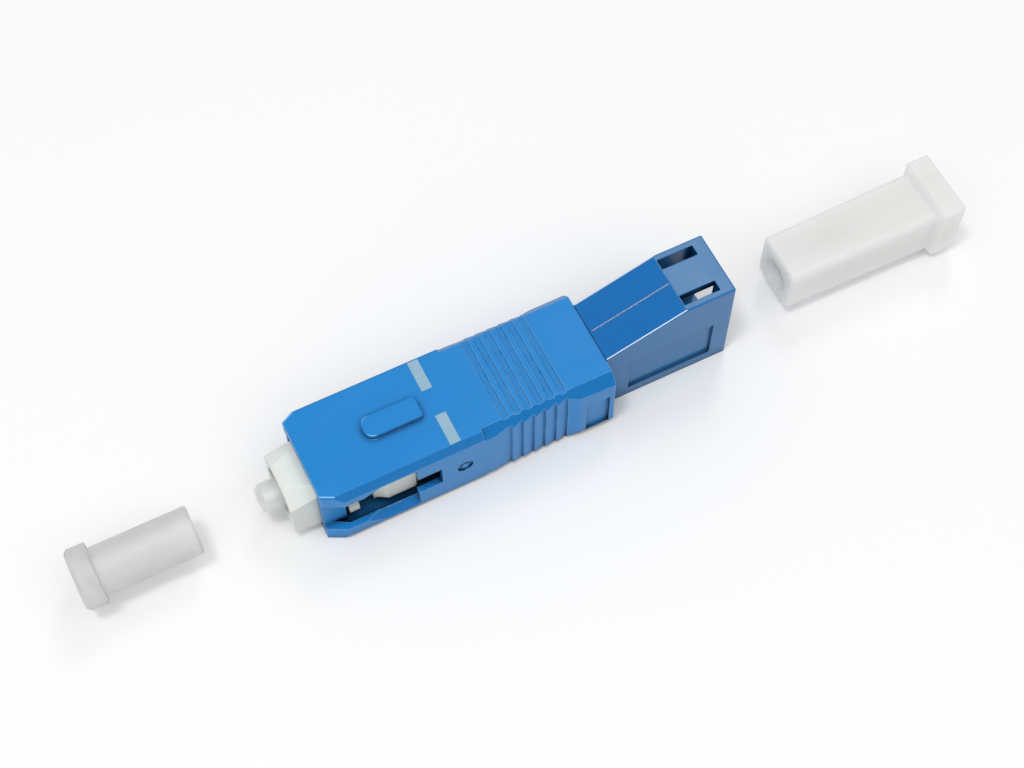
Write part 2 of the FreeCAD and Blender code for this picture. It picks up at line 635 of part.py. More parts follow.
def port_housing():
    body = port_block()
    y = PORT_HALF_WIDTH
    body = body.fuse(box(FRAME_REAR, PORT_SHOULDER + PAST, -y, y, -NECK_HALF_Z, NECK_HALF_Z))
    body = body.fuse(rod(SPIGOT_FRONT, FRAME_REAR + PAST, CHAMBER_BORE))
    rise = (PORT_TOP - SHOULDER_TOP) / (SLOPE_TOP - PORT_SHOULDER)
    ridge_start = PORT_SHOULDER + RIDGE_INSET
    ridge_end = SLOPE_TOP - RIDGE_INSET
    start_z = SHOULDER_TOP + rise * RIDGE_INSET
    end_z = PORT_TOP - rise * RIDGE_INSET
    ridge = [
        (ridge_start, start_z - RIDGE_ROOT), (ridge_end, end_z - RIDGE_ROOT),
        (ridge_end, end_z + RIDGE_HEIGHT), (ridge_start, start_z + RIDGE_HEIGHT),
    ]
    body = body.fuse(along_y(ridge, -RIDGE_HALF_WIDTH, RIDGE_HALF_WIDTH))
    channel = [
        (CHANNEL_START, 0), (CATCH_FRONT, 0), (CATCH_FRONT, CHANNEL_ROOF),
        (SLOPE_TOP, CHANNEL_ROOF), (CHANNEL_START, CHANNEL_LOW_ROOF),
    ]
    mouth_half = BORE_HALF + MOUTH_CHAMFER
    cuts = [
        rod(SPIGOT_FRONT - PAST, SEAT_START, SHANK_BORE),
        rod(SEAT_START - SEAT_OVERLAP, PORT_FLOOR + PAST, HOLDER_RADIUS),
        rod(PORT_FLOOR - HOLDER_FLANGE_LENGTH, PORT_FLOOR + PAST, HOLDER_FLANGE),
        box(PORT_FLOOR, PORT_MOUTH + PAST, -BORE_HALF, BORE_HALF, -BORE_HALF, BORE_HALF),
        along_y(channel, -CHANNEL_HALF, CHANNEL_HALF),
        box(CATCH_FRONT - PAST, PORT_MOUTH + PAST, -SPINE_HALF, SPINE_HALF, 0, CHANNEL_ROOF),
        tapered([(PORT_MOUTH - MOUTH_CHAMFER, square(BORE_HALF)), (PORT_MOUTH, square(mouth_half))]),
    ]
    for side in (-1, 1):
        w0 = min(side * LATCH_WINDOW_INNER, side * CHANNEL_HALF)
        w1 = max(side * LATCH_WINDOW_INNER, side * CHANNEL_HALF)
        cuts.append(box(LATCH_WINDOW_START, CATCH_FRONT, w0, w1, CHANNEL_ROOF - PAST, PORT_TOP + PAST))
        p0 = min(side * (y - SIDE_POCKET_DEPTH), side * (y + PAST))
        p1 = max(side * (y - SIDE_POCKET_DEPTH), side * (y + PAST))
        cuts.append(box(SIDE_POCKET_START, SIDE_POCKET_END, p0, p1, SIDE_POCKET_LOW, SIDE_POCKET_HIGH))
        groove_x0 = LUG_REAR - LUG_LENGTH - SLIDE_TRAVEL - LUG_FRONT_GAP
        groove_y = LUG_HALF_WIDTH + LUG_SIDE_GAP
        g0 = min(side * (NECK_HALF_Z - LUG_DEPTH), side * (NECK_HALF_Z + PAST))
        g1 = max(side * (NECK_HALF_Z - LUG_DEPTH), side * (NECK_HALF_Z + PAST))
        cuts.append(box(groove_x0, LUG_REAR + LUG_REAR_GAP, -groove_y, groove_y, g0, g1))
    for cut in cuts:
        body = body.cut(cut)
    return body.removeSplitter()


def sleeve_holder():
    flange_front = PORT_FLOOR - HOLDER_FLANGE_LENGTH
    return turned([
        (SEAT_START, HOLDER_ROOM), (SEAT_START, HOLDER_RADIUS), (flange_front, HOLDER_RADIUS),
        (flange_front, HOLDER_FLANGE), (PORT_FLOOR, HOLDER_FLANGE), (PORT_FLOOR, HOLDER_RADIUS),
        (HOLDER_TIP - HOLDER_TIP_CHAMFER_X, HOLDER_RADIUS),
        (HOLDER_TIP, HOLDER_RADIUS - HOLDER_TIP_CHAMFER), (HOLDER_TIP, HOLDER_LIP),
        (HOLDER_TIP - HOLDER_LIP_LENGTH, HOLDER_LIP), (HOLDER_TIP - HOLDER_LIP_LENGTH, HOLDER_ROOM),
    ])


def split_sleeve():
    end = HOLDER_TIP - HOLDER_LIP_LENGTH
    start = end - SLEEVE_LEN
    tube = rod(start, end, SLEEVE_RADIUS).cut(rod(start - PAST, end + PAST, SLEEVE_BORE))
    return tube.cut(box(start - PAST, end + PAST, -SLEEVE_SLOT / 2, SLEEVE_SLOT / 2, 0, PAST))


def ferrule_cap():
    flange_rear = CAP_RIM - CAP_TUBE_LENGTH
    end = flange_rear - CAP_FLANGE_LENGTH
    bore_end = CAP_RIM - CAP_BORE_DEPTH
    return turned([
        (end, 0), (end, CAP_FLANGE_RADIUS - CAP_ROUND), (end + CAP_ROUND, CAP_FLANGE_RADIUS),
        (flange_rear - CAP_FLANGE_EDGE, CAP_FLANGE_RADIUS),
        (flange_rear, CAP_FLANGE_RADIUS - CAP_FLANGE_EDGE),
        (flange_rear, CAP_TUBE_RADIUS), (CAP_RIM - CAP_RIM_EDGE, CAP_TUBE_RADIUS),
        (CAP_RIM, CAP_TUBE_RADIUS - CAP_RIM_EDGE), (CAP_RIM, CAP_BORE + CAP_LEAD),
        (CAP_RIM - CAP_LEAD_LENGTH, CAP_BORE),
        (bore_end, CAP_BORE), (bore_end - CAP_BORE_CONE, CAP_BORE_TIP), (bore_end - CAP_BORE_CONE, 0),
    ])


def port_plug():
    root = PLUG_TIP + PLUG_SHAFT_LENGTH
    shaft = tapered([(PLUG_TIP, square(PLUG_TIP_HALF)), (root, square(PLUG_ROOT_HALF))])
    shaft = shaft.makeFillet(PLUG_ROUND, edges_where(shaft, lambda b: b.XLength > PAST))
    tip = edges_where(shaft, lambda b: flat(b.XMin, b.XMax, PLUG_TIP))
    shaft = shaft.makeChamfer(PLUG_TIP_CHAMFER, tip)
    y = PLUG_HEAD_HALF
    brim = root + PLUG_HEAD_BEVEL
    head = tapered([(root, square(y - PLUG_HEAD_BEVEL)), (brim, square(y))])
    head = head.fuse(box(brim, root + PLUG_HEAD_LENGTH, -y, y, -y, y)).removeSplitter()
    head = head.makeFillet(PLUG_HEAD_ROUND, edges_where(head, lambda b: b.XLength > PAST))
    body = shaft.fuse(head)
    body = body.cut(rod(PLUG_TIP - PAST, PLUG_TIP + PLUG_BORE_DEPTH, PLUG_BORE))
    return body.removeSplitter()


pieces = {
    "outer_housing": outer_housing(),
    "plug_frame": plug_frame(),
    "ferrule": ferrule(),
    "ferrule_holder": ferrule_holder(),
    "inner_ferrule": inner_ferrule(),
    "glass_fibre": rod(0, OPTICAL_PLANE, FIBRE_RADIUS),
    "ferrule_spring": ferrule_spring(),
    "port_housing": port_housing(),
    "sleeve_holder": sleeve_holder(),
    "split_sleeve": split_sleeve(),
    "ferrule_cap": ferrule_cap(),
    "port_plug": port_plug(),
}

os.makedirs("parts", exist_ok=True)
for name, shape in pieces.items():
    print(name, shape.ShapeType, shape.isValid(), len(shape.Solids), round(shape.Volume, 3))
    solid = shape.Solids[0] if len(shape.Solids) == 1 else shape
    solid.exportStep("parts/" + name + ".step")
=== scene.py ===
import math

import bmesh
import bpy
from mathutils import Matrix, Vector


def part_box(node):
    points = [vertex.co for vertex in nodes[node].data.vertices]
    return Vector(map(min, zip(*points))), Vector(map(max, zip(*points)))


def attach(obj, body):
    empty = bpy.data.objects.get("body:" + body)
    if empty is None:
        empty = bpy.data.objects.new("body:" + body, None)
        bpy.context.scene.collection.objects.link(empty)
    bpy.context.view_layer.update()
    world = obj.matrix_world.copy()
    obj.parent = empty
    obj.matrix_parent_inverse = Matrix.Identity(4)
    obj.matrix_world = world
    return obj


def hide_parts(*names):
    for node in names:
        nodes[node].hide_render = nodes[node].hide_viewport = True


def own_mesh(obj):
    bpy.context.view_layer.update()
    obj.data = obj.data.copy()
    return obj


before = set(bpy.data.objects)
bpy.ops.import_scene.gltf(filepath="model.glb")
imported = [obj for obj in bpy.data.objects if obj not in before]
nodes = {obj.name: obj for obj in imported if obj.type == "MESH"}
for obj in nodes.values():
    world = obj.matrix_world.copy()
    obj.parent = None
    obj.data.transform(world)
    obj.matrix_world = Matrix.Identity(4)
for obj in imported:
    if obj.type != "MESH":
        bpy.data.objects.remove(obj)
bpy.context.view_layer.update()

MM = 0.001

# Camera, solved from the photograph's edges
CAMERA_PLACE = (-8.892 * MM, -63.185 * MM, 133.018 * MM)
CAMERA_TURN = (28.0626, 0.1091, -26.453)
CAMERA_LENS = 65.465
SENSOR_WIDTH = 36.0
CAMERA_NEAR = 0.005

# Stage and light
FLOOR_LEVEL = -3.73 * MM
FLOOR_REACH = 0.6
FLOOR_WHITE = (0.95, 0.95, 0.95, 1.0)
FLOOR_DULLNESS = 0.9
ROOM_GREY = (0.515, 0.515, 0.515, 1.0)
LIGHT_AIM = (24.0 * MM, 0.0, 0.0)
LIGHT_DISTANCE = 0.36
LAMPS = {
    "ridge_key": {"toward": (-0.25, -0.10, 0.963), "size": (0.05, 0.05), "power": 0.25},
    "front_box": {"toward": (-0.10, -0.36, 0.93), "size": (0.60, 0.36), "power": 0.585},
    "gloss_card": {"toward": (0.36, 0.41, 0.84), "size": (0.06, 0.12), "power": 0.12},
}

# Printed index strips on the top face, in millimetres
STRIP_START = 14.95
STRIP_END = 15.87
STRIP_INNER = 1.19
STRIP_OUTER = 4.02
STRIP_FACE = 3.7
STRIP_THICK = 0.014
STRIP_CORNER = 0.05

# Where the round cap's solid head meets its tube, in millimetres along the part
CAP_HEAD_REAR = -13.35
CAP_HEAD_BLEND = 0.15

# Ferrule spring: wire radius in millimetres, turns, steps along each turn, and sides round the wire
SPRING_WIRE = 0.2
SPRING_TURNS = 6
SPRING_STEPS = 32
SPRING_SIDES = 14

# Shade in a piece's own creases and in the rooms between pieces: its reach in metres, how closed
# or open a place has to be, and how deep the shade goes
CREASE_SHADE = {"Reach": 0.0006, "Closed": 0.45, "Open": 0.92, "Depth": 0.5}
ROOM_SHADE = {"Reach": 0.003, "Closed": 0.32, "Open": 0.6, "Depth": 1.0}

# Marks that several finishes share
DUST_TONE = (0.8, 0.8, 0.78, 1.0)
BRIGHT_METAL = (0.86, 0.85, 0.82, 1.0)
# Strength of the painted highlight on corners that lean to the front
PAINTED_HIGHLIGHT_GAIN = 1.7
SCRATCH_DEPTH = 0.4


# Small builders for node trees
def place(tree, kind, settings=None, **values):
    node = tree.nodes.new(kind)
    for key, value in (settings or {}).items():
        setattr(node, key, value)
    for key, value in values.items():
        node.inputs[key.replace("_", " ")].default_value = value
    return node


def join(tree, source, target):
    tree.links.new(source, target)


def effect(name, inputs, outputs):
    tree = bpy.data.node_groups.new(name, "ShaderNodeTree")
    for label, value in inputs:
        socket = tree.interface.new_socket(label, in_out="INPUT", socket_type="NodeSocketFloat")
        socket.default_value = value
    for label, kind in outputs:
        tree.interface.new_socket(label, in_out="OUTPUT", socket_type=kind)
    return tree, tree.nodes.new("NodeGroupInput"), tree.nodes.new("NodeGroupOutput")


def millimetres(tree, stretch=(1.0, 1.0, 1.0)):
    coords = place(tree, "ShaderNodeTexCoord")
    scaled = place(tree, "ShaderNodeMapping", {"vector_type": "POINT"})
    scaled.inputs["Scale"].default_value = tuple(1000.0 * s for s in stretch)
    join(tree, coords.outputs["Object"], scaled.inputs["Vector"])
    return scaled.outputs["Vector"]


def sums(tree, operation, first, second):
    node = place(tree, "ShaderNodeMath", {"operation": operation})
    for index, item in enumerate((first, second)):
        if isinstance(item, (int, float)):
            node.inputs[index].default_value = item
        else:
            join(tree, item, node.inputs[index])
    return node.outputs[0]


def ranged(tree, value, low, high, new_low, new_high):
    node = place(tree, "ShaderNodeMapRange")
    join(tree, value, node.inputs["Value"])
    for label, number in zip(("From Min", "From Max", "To Min", "To Max"), (low, high, new_low, new_high)):
        node.inputs[label].default_value = number
    return node.outputs["Result"]


# The way a surface faces, along the part's own axes
def facing(tree, normal):
    turned = place(
        tree, "ShaderNodeVectorTransform",
        {"vector_type": "NORMAL", "convert_from": "WORLD", "convert_to": "OBJECT"})
    join(tree, normal, turned.inputs["Vector"])
    parts = place(tree, "ShaderNodeSeparateXYZ")
    join(tree, turned.outputs["Vector"], parts.inputs["Vector"])
    return parts.outputs


# Spark-eroded mould texture, the flow of the melt, and a little dust
def moulded_surface():
    tree, given, made = effect(
        "moulded surface",
        [("Grain per mm", 9.0), ("Dust", 0.3)],
        [("Height", "NodeSocketFloat"), ("Flow", "NodeSocketFloat"), ("Dust", "NodeSocketFloat")],
    )
    point = millimetres(tree)
    grain = place(tree, "ShaderNodeTexNoise", Detail=5.0, Roughness=0.62)
    join(tree, point, grain.inputs["Vector"])
    join(tree, given.outputs["Grain per mm"], grain.inputs["Scale"])
    pits = place(tree, "ShaderNodeTexVoronoi", {"feature": "SMOOTH_F1"}, Smoothness=0.6)
    join(tree, point, pits.inputs["Vector"])
    join(tree, sums(tree, "MULTIPLY", given.outputs["Grain per mm"], 1.3), pits.inputs["Scale"])
    height = sums(tree, "ADD", grain.outputs["Fac"], sums(tree, "MULTIPLY", pits.outputs["Distance"], 0.35))
    join(tree, height, made.inputs["Height"])
    along = millimetres(tree, (0.09, 0.42, 0.42))
    melt = place(tree, "ShaderNodeTexNoise", Scale=1.0, Detail=4.0, Roughness=0.55, Distortion=0.8)
    join(tree, along, melt.inputs["Vector"])
    join(tree, ranged(tree, melt.outputs["Fac"], 0.3, 0.7, 0.0, 1.0), made.inputs["Flow"])
    motes = place(tree, "ShaderNodeTexVoronoi", Scale=1.7)
    join(tree, point, motes.inputs["Vector"])
    near = ranged(tree, motes.outputs["Distance"], 0.05, 0.1, 1.0, 0.0)
    sparse = place(tree, "ShaderNodeTexNoise", Scale=0.9, Detail=2.0)
    join(tree, point, sparse.inputs["Vector"])
    patch = ranged(tree, sparse.outputs["Fac"], 0.52, 0.66, 0.0, 1.0)
    dust = sums(tree, "MULTIPLY", sums(tree, "MULTIPLY", near, patch), given.outputs["Dust"])
    join(tree, dust, made.inputs["Dust"])
    return tree


# Softly rounded corners, rubbed in patches, with masks for more marks: a painted highlight on corners
# that lean to the front, and masks of faces square to the part, its sloping edges and its sides, where
# finishes paint sheen, shade and tone. The painted highlight is kept off the foot of a ridge, from Line to
# Foot millimetres beside the middle plane
def rubbed_edges():
    tree, given, made = effect(
        "rubbed edges",
        [("Radius", 0.00012), ("Rub", 0.6), ("Line", 0.0), ("Foot", 0.0)],
        [
            ("Normal", "NodeSocketVector"),
            ("Rub", "NodeSocketFloat"),
            ("Painted highlight", "NodeSocketFloat"),
            ("Square faces", "NodeSocketFloat"),
            ("Slant", "NodeSocketFloat"),
            ("Side", "NodeSocketFloat"),
        ],
    )
    rounded = place(tree, "ShaderNodeBevel", {"samples": 5})
    join(tree, given.outputs["Radius"], rounded.inputs["Radius"])
    join(tree, rounded.outputs["Normal"], made.inputs["Normal"])
    surface = place(tree, "ShaderNodeNewGeometry")
    turn = place(tree, "ShaderNodeVectorMath", {"operation": "DOT_PRODUCT"})
    join(tree, rounded.outputs["Normal"], turn.inputs[0])
    join(tree, surface.outputs["Normal"], turn.inputs[1])
    edge = ranged(tree, turn.outputs["Value"], 0.84, 0.992, 1.0, 0.0)
    point = millimetres(tree)
    patches = place(tree, "ShaderNodeTexNoise", Scale=0.8, Detail=6.0, Roughness=0.7)
    join(tree, point, patches.inputs["Vector"])
    worn = ranged(tree, patches.outputs["Fac"], 0.32, 0.58, 0.0, 1.0)
    rub = sums(tree, "MULTIPLY", sums(tree, "MULTIPLY", edge, worn), given.outputs["Rub"])
    join(tree, rub, made.inputs["Rub"])
    # Painted highlight mask: rounded corners that face to the front, a little aside, and up
    bent = facing(tree, rounded.outputs["Normal"])
    forward = ranged(tree, bent["X"], -0.02, -0.07, 0.0, 1.0)
    shallow = ranged(tree, bent["X"], -0.42, -0.34, 0.0, 1.0)
    upward = ranged(tree, bent["Z"], 0.25, 0.4, 0.0, 1.0)
    leaning = sums(tree, "MULTIPLY", sums(tree, "MULTIPLY", forward, shallow), upward)
    spot = place(tree, "ShaderNodeSeparateXYZ")
    join(tree, point, spot.inputs["Vector"])
    aside = sums(tree, "ABSOLUTE", spot.outputs["Y"], 0.0)
    beside = sums(tree, "GREATER_THAN", aside, given.outputs["Line"])
    foot = sums(tree, "MULTIPLY", beside, sums(tree, "LESS_THAN", aside, given.outputs["Foot"]))
    flat = facing(tree, surface.outputs["Normal"])
    across = sums(tree, "ABSOLUTE", flat["Y"], 0.0)
    turned_out = ranged(tree, across, 0.12, 0.25, 0.0, 1.0)
    turned_down = ranged(tree, across, 0.62, 0.50, 0.0, 1.0)
    corner = sums(tree, "MAXIMUM", edge, sums(tree, "MULTIPLY", turned_out, turned_down))
    broken = ranged(tree, patches.outputs["Fac"], 0.30, 0.46, 0.15, 1.0)
    clear = sums(tree, "MULTIPLY", broken, sums(tree, "SUBTRACT", 1.0, foot))
    painted_highlight = sums(tree, "MULTIPLY", sums(tree, "MULTIPLY", corner, leaning), clear)
    join(tree, sums(tree, "MINIMUM", sums(tree, "MULTIPLY", painted_highlight, PAINTED_HIGHLIGHT_GAIN), 1.0), made.inputs["Painted highlight"])
    # Mask of faces square to the part, where a painted sheen goes
    upright = sums(tree, "ABSOLUTE", flat["Z"], 0.0)
    square = ranged(tree, sums(tree, "MAXIMUM", across, upright), 0.962, 0.985, 0.0, 1.0)
    join(tree, square, made.inputs["Square faces"])
    # Mask of sloping faces, where painted shade goes
    tilted = ranged(tree, upright, 0.2, 0.3, 0.0, 1.0)
    sloped = ranged(tree, upright, 0.97, 0.93, 0.0, 1.0)
    join(tree, sums(tree, "MULTIPLY", tilted, sloped), made.inputs["Slant"])
    # Mask of side faces, where a painted tone goes
    join(tree, ranged(tree, across, 0.94, 0.985, 0.0, 1.0), made.inputs["Side"])
    return tree


# Painted shade: an ambient-occlusion mask for a piece's own creases, or for the rooms between pieces
def recess_shade(name, own):
    tree, given, made = effect(
        name,
        [("Reach", 0.0008), ("Closed", 0.15), ("Open", 0.75), ("Depth", 0.8)],
        [("Shade", "NodeSocketFloat")],
    )
    hidden = place(tree, "ShaderNodeAmbientOcclusion", {"samples": 6, "only_local": own})
    join(tree, given.outputs["Reach"], hidden.inputs["Distance"])
    shade = place(tree, "ShaderNodeMapRange", To_Min=1.0, To_Max=0.0)
    join(tree, hidden.outputs["AO"], shade.inputs["Value"])
    join(tree, given.outputs["Closed"], shade.inputs["From Min"])
    join(tree, given.outputs["Open"], shade.inputs["From Max"])
    deep = sums(tree, "MULTIPLY", shade.outputs["Result"], given.outputs["Depth"])
    join(tree, deep, made.inputs["Shade"])
    return tree


# Handling marks: fine scratches along the part and dull smears
def handling_marks():
    tree, given, made = effect(
        "handling marks",
        [("Level", 0.3), ("Spread", 0.1)],
        [("Roughness", "NodeSocketFloat"), ("Scratch", "NodeSocketFloat")],
    )
    smear = place(tree, "ShaderNodeTexNoise", Scale=0.35, Detail=6.0, Roughness=0.6, Distortion=0.4)
    join(tree, millimetres(tree), smear.inputs["Vector"])
    fine = place(tree, "ShaderNodeTexNoise", Scale=1.0, Detail=3.0, Roughness=0.5)
    join(tree, millimetres(tree, (0.5, 14.0, 14.0)), fine.inputs["Vector"])
    scratch = ranged(tree, fine.outputs["Fac"], 0.66, 0.74, 0.0, 1.0)
    swing = ranged(tree, smear.outputs["Fac"], 0.3, 0.7, -0.5, 0.5)
    uneven = sums(tree, "MULTIPLY", swing, given.outputs["Spread"])
    level = sums(tree, "ADD", given.outputs["Level"], uneven)
    join(tree, sums(tree, "ADD", level, sums(tree, "MULTIPLY", scratch, 0.05)), made.inputs["Roughness"])
    join(tree, scratch, made.inputs["Scratch"])
    return tree


# Fine rings left by turning, grinding or drawing
def turning_rings():
    tree, given, made = effect(
        "turning rings",
        [("Rings per mm", 12.0)],
        [("Height", "NodeSocketFloat"), ("Tone", "NodeSocketFloat")],
    )
    point = millimetres(tree)
    bands = {"wave_type": "BANDS", "bands_direction": "X"}
    rings = place(tree, "ShaderNodeTexWave", bands, Distortion=1.5, Detail=3.0)
    join(tree, point, rings.inputs["Vector"])
    join(tree, given.outputs["Rings per mm"], rings.inputs["Scale"])
    tone = place(tree, "ShaderNodeTexNoise", Scale=2.0, Detail=5.0)
    join(tree, millimetres(tree, (3.0, 0.3, 0.3)), tone.inputs["Vector"])
    join(tree, rings.outputs["Fac"], made.inputs["Height"])
    join(tree, tone.outputs["Fac"], made.inputs["Tone"])
    return tree


MOULDED = moulded_surface()
EDGES = rubbed_edges()
CREASE = recess_shade("crease shade", True)
ROOM = recess_shade("room shade", False)
MARKS = handling_marks()
RINGS = turning_rings()


def use(tree, group, **values):
    return place(tree, "ShaderNodeGroup", {"node_tree": group}, **values)


def blended(tree, fac, first, second):
    node = place(tree, "ShaderNodeMix", {"data_type": "RGBA"})
    join(tree, fac, node.inputs["Factor"])
    for socket, item in ((node.inputs[6], first), (node.inputs[7], second)):
        if isinstance(item, tuple):
            socket.default_value = item
        else:
            join(tree, item, socket)
    return node.outputs[2]


def fresh(name):
    material = bpy.data.materials.new(name)
    material.use_nodes = True
    tree = material.node_tree
    return material, tree, tree.nodes["Principled BSDF"]


# Colour, gloss and fine relief of a finish, over its rounded corners
def skin(tree, shader, colour, marks, edges, height, strength, depth):
    join(tree, colour, shader.inputs["Base Color"])
    join(tree, marks.outputs["Roughness"], shader.inputs["Roughness"])
    bump = place(tree, "ShaderNodeBump", Strength=strength, Distance=depth)
    join(tree, height, bump.inputs["Height"])
    join(tree, edges.outputs["Normal"], bump.inputs["Normal"])
    join(tree, bump.outputs["Normal"], shader.inputs["Normal"])


# Light that soaks into a pale finish, with its reach in metres
def soak(shader, weight, tint, reach):
    shader.inputs["Subsurface Weight"].default_value = weight
    shader.inputs["Subsurface Radius"].default_value = tint
    shader.inputs["Subsurface Scale"].default_value = reach


# Injection-moulded plastic: tone drifts with the melt, corners are rubbed paler, the gloss is uneven.
# Optional tones paint light and shade: sheen on square faces, shade on sloping faces, a tone on side faces,
# a tone in creases and rooms (shade on the blues, a glow on the pale plug) and a highlight on front corners
def moulded_plastic(name, tone, drift, rubbed, gloss, spread, grain, depth, specular,
                    corner=0.00012, rub=0.5, dust=0.1, painted_highlight=None, line=0.0, foot=0.0, painted_sheen=None,
                    painted_slope_shade=None, painted_side_tone=None, recess_painted_tone=None):
    material, tree, shader = fresh(name)
    surface = use(tree, MOULDED, Grain_per_mm=grain, Dust=dust)
    edges = use(tree, EDGES, Radius=corner, Rub=rub, Line=line, Foot=foot)
    marks = use(tree, MARKS, Level=gloss, Spread=spread)
    colour = blended(tree, surface.outputs["Flow"], tone, drift)
    # Painted sheen: a greyer tone on faces square to the part, in place of reflection
    if painted_sheen:
        colour = blended(tree, edges.outputs["Square faces"], colour, painted_sheen)
    # Painted shade: a deeper tone on sloping faces
    if painted_slope_shade:
        colour = blended(tree, edges.outputs["Slant"], colour, painted_slope_shade)
    # Painted tone on side faces: a greyer reflection on the shell, painted shade on the white frame
    if painted_side_tone:
        colour = blended(tree, edges.outputs["Side"], colour, painted_side_tone)
    colour = blended(tree, edges.outputs["Rub"], colour, rubbed)
    colour = blended(tree, surface.outputs["Dust"], colour, DUST_TONE)
    # Painted shade in creases and rooms from ambient occlusion; a pale tone paints a glow there instead
    if recess_painted_tone:
        crease = use(tree, CREASE, **CREASE_SHADE)
        colour = blended(tree, crease.outputs["Shade"], colour, recess_painted_tone)
        room = use(tree, ROOM, **ROOM_SHADE)
        colour = blended(tree, room.outputs["Shade"], colour, recess_painted_tone)
    # Painted highlight: a pale line on rounded corners that lean to the front and up
    if painted_highlight:
        colour = blended(tree, edges.outputs["Painted highlight"], colour, painted_highlight)
    scratched = sums(tree, "MULTIPLY", marks.outputs["Scratch"], SCRATCH_DEPTH)
    height = sums(tree, "SUBTRACT", surface.outputs["Height"], scratched)
    skin(tree, shader, colour, marks, edges, height, 0.5, depth)
    shader.inputs["Specular IOR Level"].default_value = specular
    return material, shader


# The shell paints shade on sloping faces, a greyer reflection on its sides, dark shade in creases and rooms
# and a pale highlight on front corners; its paler rubbed edges are partly wear, partly a painted highlight
def blue_shell():
    return moulded_plastic(
        "blue_shell", (0.009, 0.222, 0.600, 1.0), (0.014, 0.234, 0.620, 1.0), (0.20, 0.50, 0.86, 1.0),
        gloss=0.35, spread=0.10, grain=7.0, depth=0.00001, specular=0.24, rub=1.2,
        painted_highlight=(0.22, 0.52, 0.86, 1.0), painted_slope_shade=(0.002, 0.168, 0.485, 1.0), painted_side_tone=(0.034, 0.224, 0.545, 1.0),
        recess_painted_tone=(0.0005, 0.004, 0.016, 1.0))[0]


# The port paints a greyish sheen on square faces, a near-white highlight along its slope's edges and ridge,
# and dark shade in its windows and creases
def blue_port():
    return moulded_plastic(
        "blue_port", (0.003, 0.140, 0.440, 1.0), (0.005, 0.152, 0.470, 1.0), (0.08, 0.30, 0.66, 1.0),
        gloss=0.20, spread=0.08, grain=5.0, depth=0.000004, specular=0.32,
        painted_highlight=(0.86, 0.92, 0.96, 1.0), line=0.045, foot=0.5, painted_sheen=(0.020, 0.155, 0.375, 1.0),
        recess_painted_tone=(0.0005, 0.005, 0.022, 1.0))[0]


# The frame's side faces get painted shade
def white_frame():
    material, shader = moulded_plastic(
        "white_frame", (0.785, 0.825, 0.780, 1.0), (0.755, 0.795, 0.755, 1.0), (0.83, 0.85, 0.82, 1.0),
        gloss=0.38, spread=0.10, grain=6.0, depth=0.000008, specular=0.45, corner=0.00016,
        painted_side_tone=(0.640, 0.675, 0.650, 1.0))
    soak(shader, 0.25, (1.0, 1.0, 0.9), 0.0004)
    return material


# Painted glow: the plug turns paler in its creases and rooms, as if lit from within
def milky_plug():
    material, shader = moulded_plastic(
        "milky_plug", (0.755, 0.760, 0.745, 1.0), (0.725, 0.732, 0.715, 1.0), (0.81, 0.81, 0.80, 1.0),
        gloss=0.42, spread=0.14, grain=4.0, depth=0.000012, specular=0.4, corner=0.0002,
        recess_painted_tone=(0.93, 0.95, 0.98, 1.0))
    soak(shader, 0.8, (0.95, 1.0, 1.0), 0.0024)
    return material


def index_print():
    return moulded_plastic(
        "index_print", (0.290, 0.465, 0.590, 1.0), (0.270, 0.445, 0.575, 1.0), (0.22, 0.42, 0.60, 1.0),
        gloss=0.50, spread=0.14, grain=10.0, depth=0.000008, specular=0.35, corner=0.00004)[0]


# Ground and polished zirconia: dense white, glossy, faint grinding rings
def white_ceramic():
    material, tree, shader = fresh("white_ceramic")
    rings = use(tree, RINGS, Rings_per_mm=22.0)
    edges = use(tree, EDGES, Radius=0.00006, Rub=0.2)
    marks = use(tree, MARKS, Level=0.14, Spread=0.08)
    colour = blended(tree, rings.outputs["Tone"], (0.690, 0.705, 0.700, 1.0), (0.650, 0.670, 0.665, 1.0))
    skin(tree, shader, colour, marks, edges, rings.outputs["Height"], 0.25, 0.000002)
    shader.inputs["IOR"].default_value = 1.9
    soak(shader, 0.2, (1.0, 1.0, 0.95), 0.0003)
    return material


# Turned and plated metal, and drawn spring wire
def turned_metal(name, tone, drift, gloss, rings_per_mm, depth):
    material, tree, shader = fresh(name)
    rings = use(tree, RINGS, Rings_per_mm=rings_per_mm)
    edges = use(tree, EDGES, Radius=0.00005, Rub=0.6)
    marks = use(tree, MARKS, Level=gloss, Spread=0.16)
    colour = blended(tree, rings.outputs["Tone"], tone, drift)
    colour = blended(tree, edges.outputs["Rub"], colour, BRIGHT_METAL)
    skin(tree, shader, colour, marks, edges, rings.outputs["Height"], 0.4, depth)
    shader.inputs["Metallic"].default_value = 1.0
    return material


